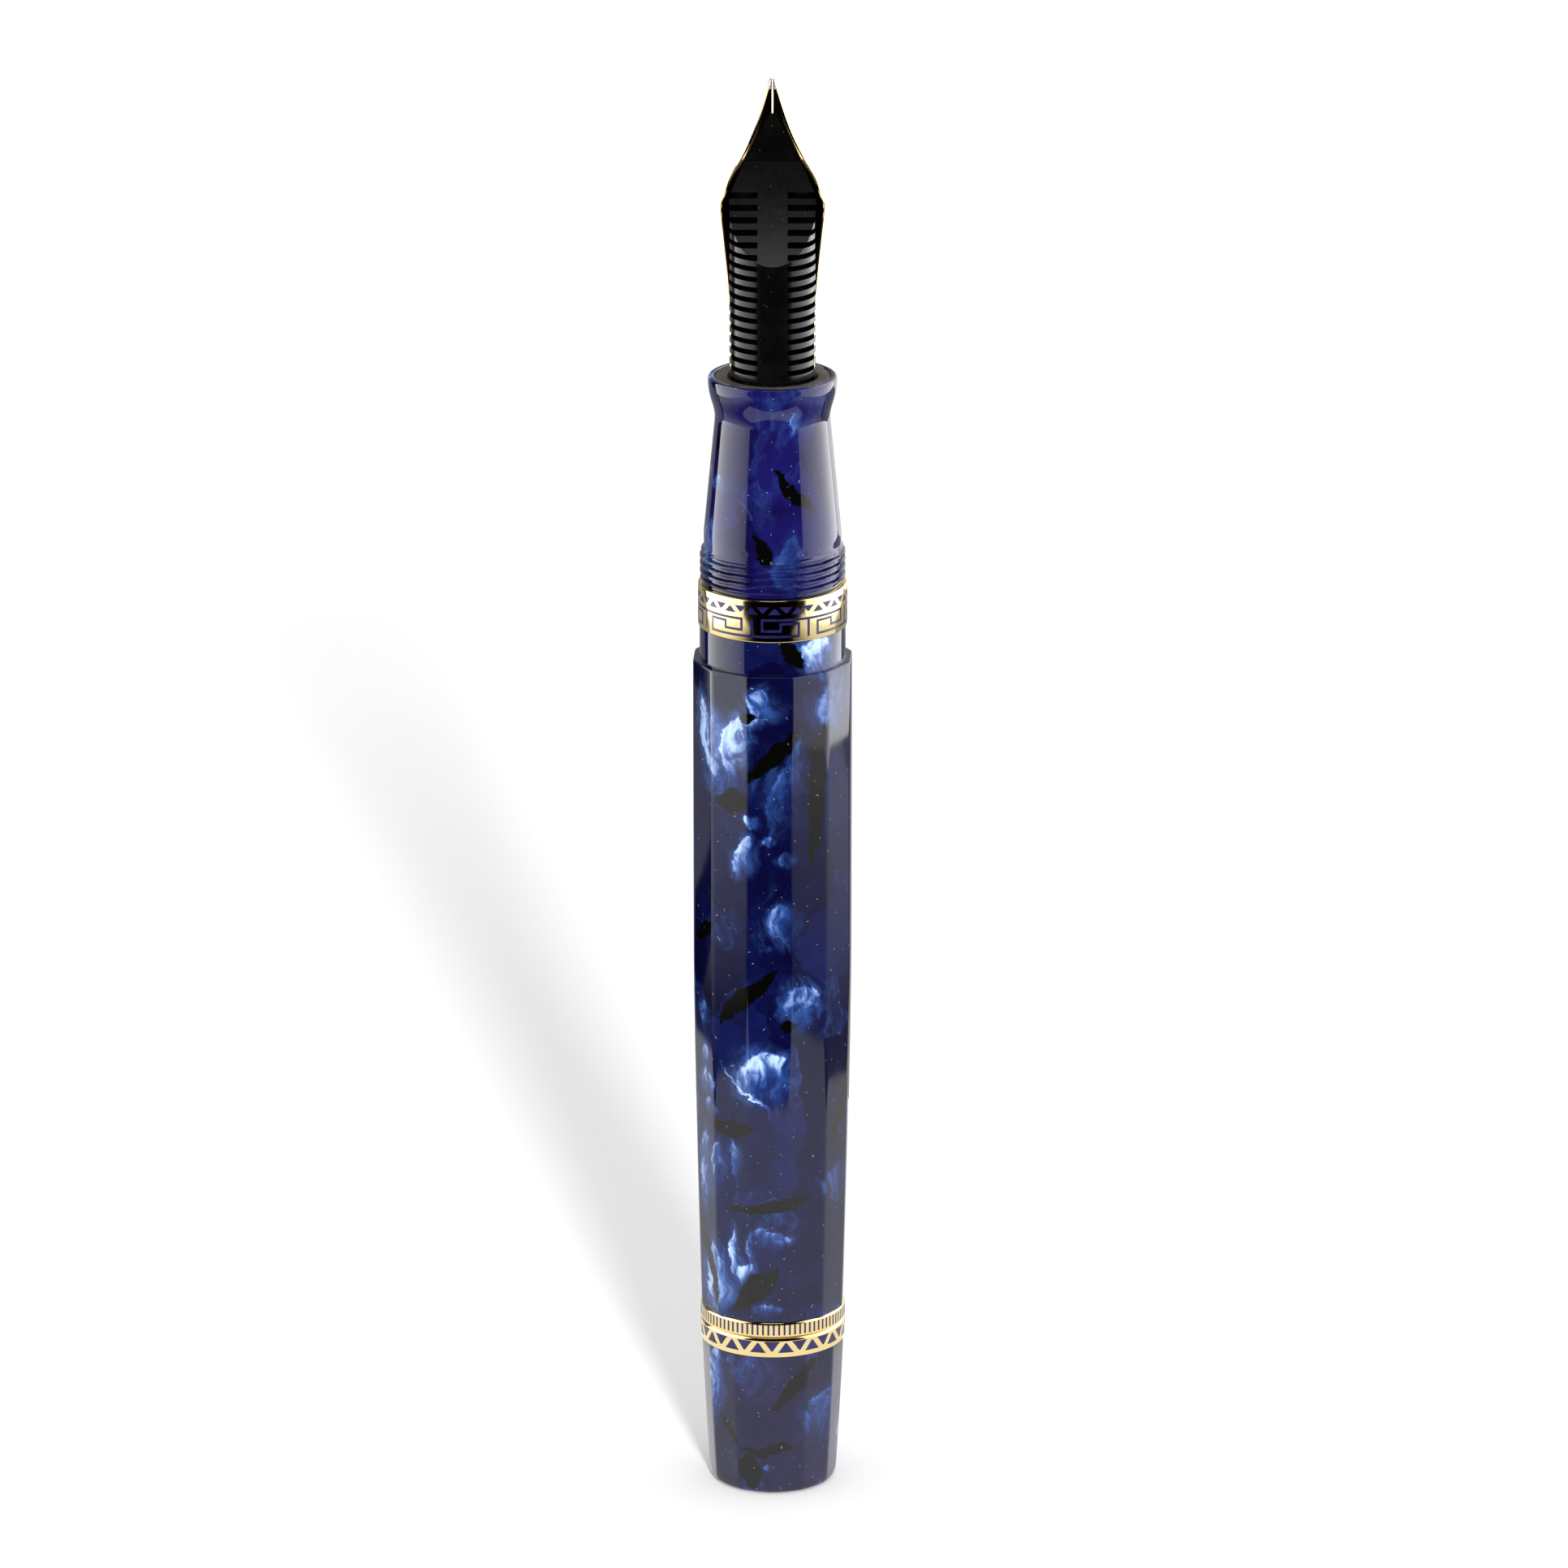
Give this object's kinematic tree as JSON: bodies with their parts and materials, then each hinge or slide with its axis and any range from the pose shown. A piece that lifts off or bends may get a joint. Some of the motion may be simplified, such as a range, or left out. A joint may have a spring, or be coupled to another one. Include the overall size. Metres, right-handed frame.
{
  "type": "fountain pen",
  "caption": "Twelve-sided piston-filling fountain pen in blue marbled celluloid with gold meander bands, uncapped, standing on its filler knob.",
  "frame": {"origin": "centre of the filler knob's flat end, on which the pen stands", "axes": "+Z runs along the pen from the knob to the nib; the nib lies on the +Y side of its feed, so the feed faces -Y"},
  "size_m": [0.015, 0.015, 0.137],
  "materials": {
    "celluloid": "polished, deep blue with pearly light-blue chips and near-black veins",
    "gold_trim": "polished gold plate with dark blue enamel inlay",
    "nib_gold": "polished gold",
    "iridium": "polished hard alloy",
    "ebonite": "satin black hard rubber",
    "housing_plastic": "matt, grey with a little dust",
    "brass": "machined",
    "steel": "machined stainless",
    "white_plastic": "moulded, satin",
    "seal_rubber": "matt black"
  },
  "bodies": {
    "knob": {"knob_shell": "celluloid", "knob_trim_ring": "gold_trim", "knob_insert": "brass", "spindle": "steel", "spindle_pin": "steel"},
    "washer": {"slip_washer": "white_plastic"},
    "barrel": {"barrel_shell": "celluloid", "rear_trim_ring": "gold_trim", "mechanism_housing": "brass", "rod_guide": "white_plastic", "housing_o_ring": "seal_rubber", "section_o_ring": "seal_rubber", "section_grip": "celluloid", "front_trim_band": "gold_trim", "nib_housing": "housing_plastic", "nib": "nib_gold", "tip_pellet_left": "iridium", "tip_pellet_right": "iridium", "feed": "ebonite"},
    "piston": {"piston_rod": "white_plastic", "piston_head": "white_plastic", "piston_seal_rear": "seal_rubber", "piston_seal_front": "seal_rubber", "piston_screw": "steel"}
  },
  "joints": [
    {"name": "knob_turn", "type": "hinge", "parent": "knob", "child": "washer", "pos_m": [0, 0, 0.01565], "axis": [0, 0, 1], "range_deg": [0, 1440]},
    {"name": "knob_rise", "type": "slide", "parent": "washer", "child": "barrel", "axis": [0, 0, 1], "range_m": [0, 0.0044]},
    {"name": "piston_travel", "type": "slide", "parent": "barrel", "child": "piston", "axis": [0, 0, 1], "range_m": [0, 0.024]}
  ],
  "couplings": [
    {"joint": "knob_rise", "follows": "knob_turn", "m_per_rad": 0.00017507},
    {"joint": "piston_travel", "follows": "knob_turn", "m_per_rad": 0.00095492}
  ]
}
